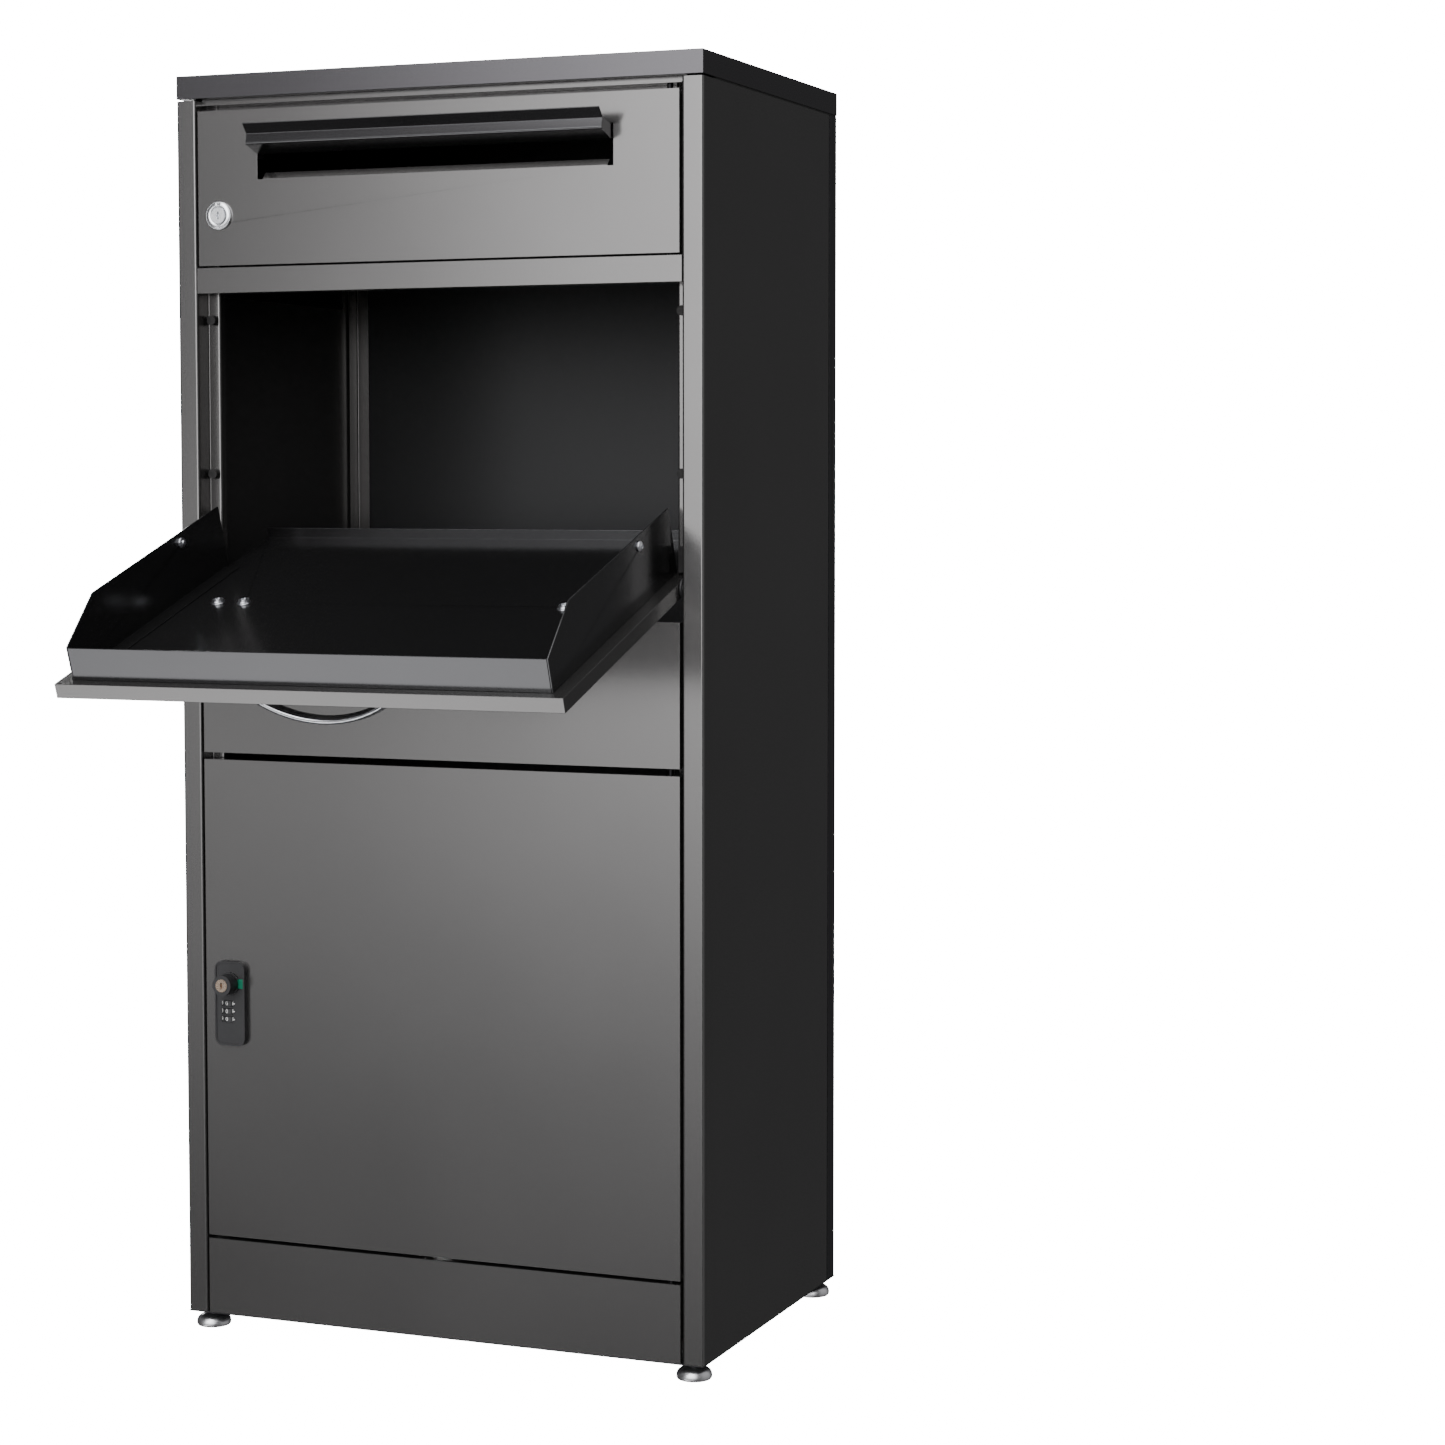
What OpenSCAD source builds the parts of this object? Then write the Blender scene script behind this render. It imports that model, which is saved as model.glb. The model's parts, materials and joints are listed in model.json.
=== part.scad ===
// Parcel drop box: mail compartment with slot door and flap, tilting drop hopper,
// locked parcel chamber. Folded sheet steel on four levelling feet.
// Origin: centre of the base pan's underside. +Z up, the front faces -Y.

/* [Cabinet] */
// Width over the side panels
cab_w = 470; // [400:5:600]
// Depth from the front posts to the back panel
cab_d = 310; // [280:5:420]
// Height of the body, from the base pan to the top of the lid
cab_h = 1036; // [1000:4:1250]
// Thickness of the folded sheet
sheet_t = 1.2; // [0.8:0.1:1.6]
// Middle radius of the bends in the folded posts, back and flap
bend_r = 1.4; // [1.2:0.1:2]
// Front width of each post
post_w = 18; // [14:1:30]
// Depth from the post's face to its door stop flange
stop_y = 18; // [18:1:26]
// Width of the back panel's wrap on each side
wrap_w = 18; // [10:1:30]

/* [Front openings] */
// Height of the plinth's top edge
plinth_top = 64.5; // [50:0.5:100]
// Height of the lower door
lower_door_h = 402.8; // [320:0.2:480]
// Height of the hopper door
hopper_h = 262; // [210:1:320]
// Height of the header rail between hopper and mail door
header_h = 21; // [16:1:30]
// Height of the mail door
mail_door_h = 127; // [122:1:170]
// Gap beside the doors and panels
side_gap = 2; // [1.5:0.1:4]
// Depth of the folded door pans
pan_d = 12; // [10:0.5:13]
// Width of the rim folded in at the back of a door pan
pan_rim = 12; // [8:1:20]

/* [Lid] */
// Height of the lid's skirt
lid_h = 19; // [14:1:40]
// Width of the lid's inward return
lid_return = 14; // [12:1:30]
// Thickness of the gasket under the lid
gasket_t = 1.6; // [1:0.1:4]

/* [Mail slot and flap] */
// Width of the slot
slot_w = 318; // [260:2:380]
// Height of the slot
slot_h = 33; // [28:1:40]
// Distance from the mail door's bottom edge to the slot
slot_rise = 69.5; // [64:0.5:85]
// Gap between the slot's end and the flap
flap_gap = 1; // [0.6:0.1:3]

/* [Hopper] */
// Angle of the open hopper door from closed
hopper_open = 109; // [95:1:112]
// Height of the tray's front lip
lip_h = 26.5; // [20:0.5:40]
// Height of the cheeks above the pan
cheek_h = 54; // [40:1:62]
// Inset of the cheeks from the door's sides
cheek_inset = 11.5; // [11.5:0.5:30]
// Reach of the tray floor behind the pivot
tray_back = 90; // [60:5:110]
// Centre distance of the bow handle's ends
handle_span = 132; // [96:4:192]
// Projection of the bow handle
handle_out = 27; // [24:1:40]
// Width of the handle's flattened bar
handle_bar = 10; // [8:0.5:14]
// Thickness of the handle's bar
handle_thick = 6; // [5:0.5:8]

/* [Locks] */
// Diameter of the cam lock's face
cam_lock_d = 23; // [21:1:28]
// Reach of the turning cams from their spindle
cam_reach = 30; // [26:1:34]
// Width of the combination lock's plate
combo_w = 28.4; // [27:0.2:34]
// Height of the combination lock's plate
combo_h = 71; // [66:1:90]
// Diameter of the number dials
dial_d = 16.8; // [14:0.2:17]

/* [Feet and fixings] */
// Diameter of the feet
foot_d = 29; // [24:1:36]
// Height of the feet below the base pan
foot_h = 14; // [14:1:24]
// Distance of the feet's centres from the front and back
foot_inset = 16; // [16:0.5:40]
// Wall hole spacing across
wall_x = 300; // [200:10:360]
// Wall hole spacing up
wall_z = 750; // [500:10:800]
// Floor anchor spacing across
anchor_x = 300; // [200:10:340]
// Floor anchor spacing in depth
anchor_y = 200; // [150:10:220]
// Diameter of the fixing holes
fixing_d = 9; // [7:0.5:12]

/* [Hidden] */
$fn = 48;
t = sheet_t;
run = 0.05;               // radial clearance of a shaft in its hole
near = 0.3;               // gap left between faces that move past each other
cut = 1;                  // how far a cut runs past a face
yf = -cab_d / 2;          // front plane
yb = cab_d / 2;           // back plane
half = cab_w / 2;
post_in = half - post_w;              // inner face of the posts
door_half = post_in - side_gap;       // half width of doors and panels
stop_in = post_in - 11;               // inner edge of the stop flanges
stop_ret = 8;                         // depth of the return behind the stop flange
lap = t + 0.4;                        // inward step of the side panel under the back's wrap
wall_top = cab_h - lid_h - gasket_t;  // top edge of side and back panels
wall_in = half - t;                   // inner face of the side walls

// The front from the lid down to the hopper and from the plinth up to the lower door;
// the fixed middle panel fills what is left between them
rail_z0 = cab_h - lid_h - 6.2;
mail_z1 = rail_z0 - 4.3;
mail_z0 = mail_z1 - mail_door_h;
header_z1 = mail_z0 - 1.5;
header_z0 = header_z1 - header_h;
hopper_z1 = header_z0 - 1.5;
hopper_z0 = hopper_z1 - hopper_h;
lower_z0 = plinth_top + 3;
lower_z1 = lower_z0 + lower_door_h;
middle_z0 = lower_z1 + 5.7;
middle_z1 = hopper_z0 - 2;
panel_d = pan_d - 1.2;                // depth of the fixed panels

// Hopper: its pivot, and lengths measured from it along the door
pivot_rise = 24.5;
pivot_y = pan_d / 2;
pivot_z = hopper_z0 + pivot_rise;
pivot_pin_r = 3;
tip = hopper_h - pivot_rise;          // pivot to the door's outer edge
lip_at = tip - 8.5;                   // pivot to the tray lip's outer face
cheek_back = -20;
cheek_out = door_half - cheek_inset;  // outer face of the cheeks
cheek_slope = [48, 27];               // run and fall of the cheek's front corner
bolt_at = 64;                         // tray bolts, from the pivot
bolt_x = [142, 166];
notch = pivot_rise + 2.5;             // half height of the stop flange's notch
handle_drop = 29;                     // handle below the door's top edge
handle_foot_x = handle_span / 2 - 2;
handle_foot_h = 5;

// Doors: hinge axes
hinge_in = 10;
hinge_x = door_half - hinge_in;
hinge_y = pan_d / 2;
hinge_pin_r = 2.5;

// Mail flap, in the door's plane: pivot and folds
slot_z0 = mail_z0 + slot_rise;
slot_z1 = slot_z0 + slot_h;
flap_pivot = [7, slot_z0 + 27];
flap_pts = [[-1.5, slot_z0 + 20.7], [-20.2, slot_z0 + 27], [-18.1, slot_z0 + 35.1],
            [-25.3, slot_z0 + 42.9]];
flap_half = slot_w / 2 - flap_gap;
flap_pin_r = 2;
slot_lip = 5;

// Locks
lock_x = -door_half + 20;             // cam lock
lock_z = mail_z0 + 40.8;
barrel_r = 9.4;
plug_r = 6.5;
combo_x = -door_half + 25;            // combination lock
combo_z = lower_z0 + 198.5;
knob_z = combo_z + 17;
plate_t = 5;
spindle_r = 5;
body_x = [-12.4, 10];                 // lock body, from combo_x
body_half = 30;
body_y = 20;
dial_x = combo_x - 2.5;
dial_y = dial_d / 2 - plate_t - 0.6;
dial_t = 4.4;
dial_pitch = 6.6;
dial_z = [for (i = [0 : 2]) combo_z - i * dial_pitch];
dial_pin_r = 1.5;
cam_y = stop_y + stop_ret + 1;
cam_t = 2;

// Fixings
wall_mid = 525;                       // middle height of the wall holes
m4_r = 2;                             // shank of the small screws and rivets
m4_hole = m4_r + 0.1;
m4_head = 3.6;                        // radius of their heads
pin_head = 4.2;                       // radius of the door hinge pins' heads
pin_in = 8;                           // reach of a hinge pin into its door
rivet_r = m4_r;
rivet_x = half - lap - t - 6.5;
lid_screw_x = half - 9;
lid_screw_y = cab_d / 2 - 50;
cheek_screw_at = 46;                  // screw through the cheek, from the pivot
combo_screw_z = [combo_z - 24, combo_z + 27];
indicator_x = combo_x + 10;
clip_w = 18;                          // width of the lid's clips
clip_h = 14;

nut_r = 7.5;
nut_h = 7;
stem_r = 4;
stem_top = t + 16;
foot_x = half - foot_d / 2;          // the discs stand flush with the sides
foot_y = cab_d / 2 - foot_inset;

// ---- helpers ----

// Children drawn with Y counted from the front plane
module front() translate([0, yf, 0]) children();

// Children drawn closed, then tilted open about the hopper's pivot
module hopper_pose()
    translate([0, yf + pivot_y, pivot_z]) rotate([hopper_open, 0, 0])
        translate([0, -pivot_y, 0]) children();

// Box from its low and high corners
module block(a, b) translate(a) cube(b - a);

// A profile drawn in Y and Z, run along X between two places
module along_x(x0, x1) translate([x0, 0, 0]) rotate([90, 0, 90])
    linear_extrude(x1 - x0) children();

// A round bar along X, Y or Z
module bar_x(r, x0, x1) translate([x0, 0, 0]) rotate([0, 90, 0]) cylinder(r = r, h = x1 - x0);
module bar_y(r, y0, y1) translate([0, y0, 0]) rotate([-90, 0, 0]) cylinder(r = r, h = y1 - y0);
module bar_z(r, z0, z1) translate([0, 0, z0]) cylinder(r = r, h = z1 - z0);

// Both sides of the cabinet
module both_sides() {
    children();
    mirror([1, 0, 0]) children();
}

function heading(a, b) = atan2(b[1] - a[1], b[0] - a[0]);
function turn(a, b, c) = let (d = heading(b, c) - heading(a, b))
    d > 180 ? d - 360 : d < -180 ? d + 360 : d;
function trim(p, i) = i <= 0 || i >= len(p) - 1 ? 0
    : bend_r * tan(abs(turn(p[i - 1], p[i], p[i + 1])) / 2);

// Cross-section of a sheet folded along a path, with round bends
module folded(p) {
    for (i = [0 : len(p) - 2]) {
        a = heading(p[i], p[i + 1]);
        s = trim(p, i);
        translate(p[i]) rotate(a) translate([s, -t / 2])
            square([norm(p[i + 1] - p[i]) - s - trim(p, i + 1), t]);
    }
    for (i = [1 : len(p) - 2]) {
        d = turn(p[i - 1], p[i], p[i + 1]);
        side = d > 0 ? 1 : -1;
        translate(p[i]) rotate(heading(p[i - 1], p[i])) translate([-trim(p, i), side * bend_r])
            bend(abs(d), side);
    }
}

// Ring sector of one bend, starting below its centre
module bend(angle, side) intersection() {
    difference() {
        circle(bend_r + t / 2);
        circle(bend_r - t / 2);
    }
    far = 3 * (bend_r + t);
    polygon([[0, 0], [0, -side * far], [far * tan(angle / 4), -side * far],
             far * [sin(angle), -side * cos(angle)]
             + far * tan(angle / 4) * [-cos(angle), -side * sin(angle)],
             far * [sin(angle), -side * cos(angle)]]);
}

// Open folded pan: front sheet, four edge folds and a rim at the back
module pan(z0, z1, depth, rim) difference() {
    block([-door_half, 0, z0], [door_half, depth, z1]);
    block([-door_half + t, t, z0 + t], [door_half - t, depth - t, z1 - t]);
    block([-door_half + rim, t, z0 + rim], [door_half - rim, depth + cut, z1 - rim]);
}

// Plate with round corners in X and Z, r_out is its corner radius
module round_plate(w, h, r_out, y0, y1) translate([0, y1, 0]) rotate([90, 0, 0])
    linear_extrude(y1 - y0) round_rect(w, h, r_out);
module round_rect(w, h, r) {
    square([w - 2 * r, h], center = true);
    square([w, h - 2 * r], center = true);
    for (x = [-1, 1], y = [-1, 1]) translate([x * (w / 2 - r), y * (h / 2 - r)]) circle(r);
}

// ---- cabinet ----

// Right side panel: post, side wall and the lap under the back panel, in one sheet
module side_panel() {
    m = t / 2;
    rear = cab_d - wrap_w - 0.8;
    lap_x = half - m - lap;
    difference() {
        front() translate([0, 0, t]) linear_extrude(wall_top - t)
            folded([[stop_in + m, stop_y + stop_ret], [stop_in + m, stop_y + m],
                    [post_in + m, stop_y + m], [post_in + m, m], [half - m, m],
                    [half - m, rear - lap], [lap_x, rear],
                    [lap_x, cab_d - t - m - near], [lap_x - 12, cab_d - t - m - near]]);
        front() block([stop_in - cut, stop_y - cut, pivot_z - notch],
                      [post_in, stop_y + stop_ret + cut, pivot_z + notch]);
        front() block([stop_in - cut, foot_inset - nut_r - near, 0],
                      [post_in + t + cut, foot_inset + nut_r + stop_ret, stem_top + 2]);
        front() translate([0, pivot_y, pivot_z])
            bar_x(pivot_pin_r + 2.5, post_in - cut, half - t - cut);
    }
}

module left_side_panel() color("#3a3b3d") mirror([1, 0, 0]) side_panel();
module right_side_panel() color("#3a3b3d") side_panel();

module back_panel() color("#333436") difference() {
    m = t / 2;
    front() translate([0, 0, t]) linear_extrude(wall_top - t)
        folded([[-half + m, cab_d - wrap_w], [-half + m, cab_d - m],
                [half - m, cab_d - m], [half - m, cab_d - wrap_w]]);
    for (x = [-1, 1], z = [-1, 1])
        translate([x * wall_x / 2, 0, wall_mid + z * wall_z / 2])
            bar_y(fixing_d / 2, yb - t - cut, yb + cut);
    for (s = [-1, 1], z = rivet_zs())
        translate([s * rivet_x, 0, z]) bar_y(rivet_r + run, yb - t - cut, yb + cut);
}
function rivet_zs() = [for (i = [0 : 4]) 60 + i * (wall_top - 120) / 4];

module back_rivets() color("silver")
    for (s = [-1, 1], z = rivet_zs()) translate([s * rivet_x, 0, z]) {
        bar_y(rivet_r, yb - t - near + 0.1, yb);
        bar_y(m4_head, yb, yb + 1);
    }

module base_pan() color("#2f3032") difference() {
    union() {
        block([-half, yf, 0], [half, yb, t]);
        both_sides() block([wall_in - 0.1 - t, yf + 40, 0], [wall_in - 0.1, yb - wrap_w - 12, 20]);
    }
    for (x = [-1, 1], y = [-1, 1]) {
        translate([x * anchor_x / 2, y * anchor_y / 2, 0]) bar_z(fixing_d / 2, -cut, t + cut);
        translate([x * foot_x, y * foot_y, 0]) bar_z(stem_r + 0.5, -cut, t + cut);
    }
}

module top_lid() color("#3f4042") difference() {
    z0 = cab_h - lid_h;
    block([-half, yf, z0], [half, yb, cab_h]);
    block([-half + t, yf + t, z0 + t], [half - t, yb - t, cab_h - t]);
    block([-half + lid_return, yf + lid_return, z0 - cut],
          [half - lid_return, yb - lid_return, z0 + 2 * t]);
    for (x = [-1, 1], y = [-1, 1])
        translate([x * lid_screw_x, y * lid_screw_y, 0]) bar_z(m4_hole, z0 - cut, z0 + t + cut);
}

// Foam strip on the edges of the side and back panels
module lid_gasket() color("#111111") difference() {
    block([-half + 0.5, yf + stop_y + 10, wall_top], [half - 0.5, yb - 0.5, cab_h - lid_h]);
    block([-half + 6, yf, wall_top - cut], [half - 6, yb - 6, cab_h]);
}

// Angle clips inside the side walls hold the lid from below
module lid_screws() color("silver")
    for (x = [-1, 1], y = [-1, 1]) translate([0, y * lid_screw_y, 0]) {
        z0 = wall_top - clip_h;
        difference() {
            union() {
                block([min(x * (wall_in - t), x * wall_in), -clip_w / 2, z0],
                      [max(x * (wall_in - t), x * wall_in), clip_w / 2, wall_top]);
                block([min(x * (half - 14), x * wall_in), -clip_w / 2, z0],
                      [max(x * (half - 14), x * wall_in), clip_w / 2, z0 + t]);
            }
            translate([x * lid_screw_x, 0, 0]) bar_z(m4_r, z0 - cut, wall_top);
        }
        translate([x * lid_screw_x, 0, 0]) {
            bar_z(m4_r, z0, cab_h - lid_h + 5);
            bar_z(m4_head, z0 - 2.5, z0);
        }
    }

module top_front_rail() color("#4a4b4d") front() difference() {
    union() {
        block([-post_in, 0.6, rail_z0], [post_in, stop_y - 0.2, rail_z0 + t]);
        block([-stop_in + near, stop_y - 0.2, rail_z0], [stop_in - near, stop_y + 12, rail_z0 + t]);
        block([-stop_in + near, stop_y, rail_z0 - 14], [stop_in - near, stop_y + t, rail_z0]);
        block([-post_in, 10.8, rail_z0], [post_in, 10.8 + t, cab_h - lid_h]);
    }
    translate([hinge_x, hinge_y, 0]) bar_z(hinge_pin_r + run, rail_z0 - cut, rail_z0 + 2 * t);
}

module header_rail() color("#6d6e6d") front() difference() {
    union() {
        block([-post_in, 0, header_z0], [post_in, t, header_z1]);
        block([-post_in, 0, header_z0], [post_in, stop_y - 0.2, header_z0 + t]);
        block([-post_in, 0, header_z1 - t], [post_in, stop_y - 0.2, header_z1]);
        block([-stop_in + near, stop_y - 0.2, header_z1 - t], [stop_in - near, stop_y + 27, header_z1]);
    }
    translate([hinge_x, hinge_y, 0]) bar_z(hinge_pin_r + run, header_z1 - 2 * t, header_z1 + cut);
}

module mail_floor() color("#232426") front() {
    y0 = stop_y + stop_ret + 1;
    block([-wall_in + 2, y0, header_z1], [wall_in - 2, cab_d - 3 * t - 1, header_z1 + t]);
    block([-stop_in + 3, y0, header_z1], [stop_in - 3, y0 + t, header_z1 + 9]);
}

module mail_floor_angles() color("#232426") front() both_sides() {
    block([wall_in - 22, 40, header_z1 - t], [wall_in, cab_d - wrap_w - 12, header_z1]);
    block([wall_in - t, 40, header_z1 - 20], [wall_in, cab_d - wrap_w - 12, header_z1]);
}

module middle_panel() color("#7b7a79") front() difference() {
    pan(middle_z0, middle_z1, panel_d, 10);
    translate([hinge_x, hinge_y, 0]) bar_z(hinge_pin_r + run, middle_z0 - cut, middle_z0 + 2 * t);
}

module front_plinth() color("#444547") front() difference() {
    pan(t, plinth_top, panel_d, 10);
    translate([hinge_x, hinge_y, 0]) bar_z(hinge_pin_r + run, plinth_top - 2 * t, plinth_top + cut);
}

// Stepped brackets that tie the fixed panels to the posts' stop flanges
module panel_brackets() color("#444547") front() both_sides()
    for (z = [[middle_z0 + 8, min(middle_z0 + 42, middle_z1 - 8)],
              [stem_top + 5, plinth_top - 10]]) {
        block([stop_in - 14, panel_d, z[0]], [stop_in + t, panel_d + t, z[1]]);
        block([stop_in, panel_d, z[0]], [stop_in + t, stop_y, z[1]]);
        block([stop_in, stop_y - t, z[0]], [post_in - 0.5, stop_y, z[1]]);
    }

module hopper_pivot_bushes() color("#202020") front() translate([0, pivot_y, pivot_z])
    both_sides() difference() {
        union() {
            bar_x(8, door_half + near, post_in);
            bar_x(pivot_pin_r + 2.45, post_in - 0.1, post_in + 4);
        }
        bar_x(pivot_pin_r + run, door_half, post_in + 5);
    }

// Where the open door's back face passes under the stop buffers
stop_x = [post_in - 9.5, post_in - 2.5];
stop_far = stop_y + 3.7;
function back_face_z(y) = pivot_z + (pan_d - pivot_y) / sin(hopper_open)
    - (y - pivot_y) / tan(hopper_open);

module hopper_stop_buffers() color("#151515") front() both_sides() difference() {
    block([stop_x[0], stop_y - 2.5, max(back_face_z(stop_y - 2.5), back_face_z(stop_far)) + near],
          [stop_x[1], stop_far, pivot_z + notch + 6]);
    block([stop_x[0] - cut, stop_y, pivot_z + notch],
          [stop_x[1] + cut, stop_y + t, pivot_z + notch + 7]);
}

module door_buffers() color("#151515") front() {
    for (z = [mail_z0 + 15, mail_z1 - 20, lower_z0 + 25, lower_z1 - 25])
        translate([-post_in + 5.5, 0, z]) bar_y(4, pan_d + near, stop_y);
    both_sides() for (z = [pivot_z + 90, hopper_z1 - 20])
        translate([post_in - 5.5, 0, z]) bar_y(4, pan_d + near, stop_y);
}

module foot_nuts() color("silver") for (x = [-1, 1], y = [-1, 1])
    translate([x * foot_x, y * foot_y, 0]) difference() {
        translate([0, 0, t]) cylinder(r = nut_r, h = nut_h, $fn = 6);
        bar_z(stem_r + run, 0, t + nut_h + cut);
    }

// ---- hopper, drawn closed ----

module hopper_door_panel() color("#27282a") hopper_pose() difference() {
    translate([0, 0, -pivot_z]) pan(hopper_z0, hopper_z1, pan_d, pan_rim);
    translate([0, pivot_y, 0]) bar_x(pivot_pin_r + run, -door_half - cut, door_half + cut);
    for (s = [-1, 1])
        translate([s * handle_foot_x, 0, tip - handle_drop]) bar_y(m4_hole, -cut, t + cut);
}

module hopper_tray() color("#1b1c1d") hopper_pose() difference() {
    w = cheek_out - t - 0.1;
    union() {
        block([-w, pan_d, -tray_back], [w, pan_d + t, lip_at]);
        block([-w, pan_d, lip_at - t], [w, pan_d + lip_h, lip_at]);
        block([-w, pan_d, -tray_back], [w, pan_d + 10, -tray_back + t]);
    }
    for (s = [-1, 1], x = bolt_x)
        translate([s * x, 0, bolt_at]) bar_y(2.6, pan_d - cut, pan_d + t + cut);
}

module cheek() hopper_pose() difference() {
    top = pan_d + cheek_h;
    union() {
        along_x(cheek_out - t, cheek_out)
            polygon([[pan_d, cheek_back], [pan_d, lip_at], [top - cheek_slope[1], lip_at],
                     [top, lip_at - cheek_slope[0]], [top, cheek_back]]);
        block([cheek_out - 14, pan_d + t, cheek_back + 5], [cheek_out, pan_d + 2 * t, lip_at - 10]);
    }
    translate([0, top - 8, cheek_screw_at]) bar_x(m4_hole, cheek_out - t - cut, cheek_out + cut);
}

module hopper_left_cheek() color("#202123") mirror([1, 0, 0]) cheek();
module hopper_right_cheek() color("#202123") cheek();

// Channels inside the pan that carry the tray floor
module tray_rails() color("#2f3032") hopper_pose() difference() {
    for (z = [bolt_at, lip_at - 65]) along_x(-180, 180) translate([0, z]) {
        translate([t, -20]) square([t, 10]);
        translate([t, 10]) square([t, 10]);
        translate([t, -11]) square([pan_d - t, t]);
        translate([t, 11 - t]) square([pan_d - t, t]);
        translate([pan_d - t, -11]) square([t, 22]);
    }
    for (s = [-1, 1], x = bolt_x) translate([s * x, 0, bolt_at]) bar_y(2.6, pan_d - 2 * t, pan_d + cut);
}

// Bow handle: a flattened bar on one arc, cut flat against the door, on two round feet
module hopper_handle() color("#c9ccd0") hopper_pose() translate([0, 0, tip - handle_drop]) {
    rise = handle_out - handle_thick / 2;
    arc_r = (handle_span * handle_span / 4 + rise * rise) / (2 * rise);
    reach = asin(handle_span / 2 / arc_r) + 4;
    difference() {
        union() {
            intersection() {
                translate([0, arc_r - rise, 0]) rotate([0, 0, -90 - reach])
                    rotate_extrude(angle = 2 * reach) translate([arc_r, 0])
                        round_rect(handle_thick, handle_bar, handle_thick / 2 - 0.05);
                block([-handle_span, -handle_out - cut, -handle_bar], [handle_span, 0, handle_bar]);
            }
            for (s = [-1, 1])
                translate([s * handle_foot_x, 0, 0]) bar_y(handle_bar / 2, -handle_foot_h, 0);
        }
        for (s = [-1, 1]) translate([s * handle_foot_x, 0, 0]) bar_y(m4_r + run, -handle_foot_h, cut);
    }
}

module handle_screws() color("silver") hopper_pose() translate([0, 0, tip - handle_drop])
    for (s = [-1, 1]) translate([s * handle_foot_x, 0, 0]) {
        bar_y(m4_r, 0.5 - handle_foot_h, t);
        bar_y(4, t, t + 2.4);
    }

module tray_bolts() color("#d8d8d8") hopper_pose()
    for (s = [-1, 1], x = bolt_x) translate([s * x, 0, bolt_at]) {
        bar_y(2.5, pan_d - 6, pan_d + t);
        bar_y(4.6, pan_d + t, pan_d + t + 2.8);
        translate([0, pan_d - t, 0]) rotate([90, 0, 0]) difference() {
            cylinder(r = 4.6, h = 4, $fn = 6);
            translate([0, 0, -cut]) cylinder(r = 2.55, h = 6);
        }
    }

module cheek_screws() color("#d8d8d8") hopper_pose() translate([0, pan_d + cheek_h - 8, cheek_screw_at])
    both_sides() {
        bar_x(m4_r, cheek_out - t - 4, cheek_out);
        bar_x(4, cheek_out - t - 2.2, cheek_out - t);
        bar_x(m4_head, cheek_out, cheek_out + 1.6);
    }

module hopper_pivot_pins() color("#3c3c3c") hopper_pose() translate([0, pivot_y, 0]) both_sides() {
    bar_x(pivot_pin_r, door_half - 8, post_in + 7);
    bar_x(4.6, door_half - 8, door_half - t);
}

// ---- mail door and flap ----

module mail_door_panel() color("#8b8a88") front() {
    difference() {
        pan(mail_z0, mail_z1, pan_d, pan_rim);
        block([-slot_w / 2, -cut, slot_z0], [slot_w / 2, t + cut, slot_z1]);
        translate([lock_x, 0, lock_z]) bar_y(barrel_r + run, -cut, t + cut);
        block([lock_x - 20, t, lock_z - 16], [lock_x + 16, pan_d + cut, lock_z + 16]);
        for (z = [mail_z0, mail_z1 - t])
            translate([hinge_x, hinge_y, z]) bar_z(hinge_pin_r + run, -cut, t + cut);
    }
    // lip folded in and up along the slot's lower edge
    along_x(-slot_w / 2 + slot_lip, slot_w / 2 - slot_lip) translate([0, slot_z0])
        polygon([[0, -t], [t, -t], [t, 0], [slot_lip + t / 2, slot_lip - t / 2],
                 [slot_lip - t / 2, slot_lip + t / 2], [0, t / 2]]);
}

module mail_door_pins() color("silver") front() translate([hinge_x, hinge_y, 0]) {
    bar_z(hinge_pin_r, mail_z1 - pin_in, rail_z0 + t);
    bar_z(pin_head, mail_z1 - pin_in, mail_z1 - t);
    bar_z(hinge_pin_r, header_z1 - t, mail_z0 + pin_in);
    bar_z(pin_head, mail_z0 + t, mail_z0 + pin_in);
}

module flap_brackets() color("#333436") front() both_sides() difference() {
    x = slot_w / 2 + 0.4;
    union() {
        block([x, t, flap_pivot[1] - 10], [x + t, flap_pivot[0] + 5, flap_pivot[1] + 10]);
        block([x, t, flap_pivot[1] - 10], [x + 12, 2 * t, flap_pivot[1] + 10]);
    }
    translate([0, flap_pivot[0], flap_pivot[1]]) bar_x(flap_pin_r + run, x - cut, x + t + cut);
}

module flap_pins() color("#9a9ca0") front() translate([0, flap_pivot[0], flap_pivot[1]]) both_sides() {
    bar_x(flap_pin_r, flap_half - t - near, slot_w / 2 + 0.4 + t + 1);
    bar_x(3.7, flap_half - t - near - 1.6, flap_half - t - near);
    bar_x(3, slot_w / 2 + 0.4 + t, slot_w / 2 + 0.4 + t + 1);
}

module mail_flap() color("#1c1c1e") front() difference() {
    union() {
        along_x(-flap_half, flap_half) folded(flap_pts);
        both_sides() along_x(flap_half - t, flap_half) {
            translate(flap_pivot) circle(4);
            polygon([flap_pivot + [1, -3.9], flap_pts[0], flap_pts[1], flap_pts[2],
                     flap_pivot + [-1, 3.9]]);
        }
    }
    translate([0, flap_pivot[0], flap_pivot[1]]) bar_x(flap_pin_r + run, -half, half);
}

// ---- locks ----

// A flat cam with a round end, pointing up from its spindle
module cam_plate(r) translate([0, cam_y + cam_t, 0]) rotate([90, 0, 0]) linear_extrude(cam_t) {
    circle(r);
    translate([-6, 0]) square([12, cam_reach - 6]);
    translate([0, cam_reach - 6]) circle(6);
}

module cam_lock_body() color("#d9dbdd") front() translate([lock_x, 0, lock_z]) difference() {
    union() {
        bar_y(cam_lock_d / 2, -2.4, 0);
        bar_y(barrel_r, -cut, body_y);
    }
    bar_y(plug_r + run, -4, body_y + cut);
}

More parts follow.
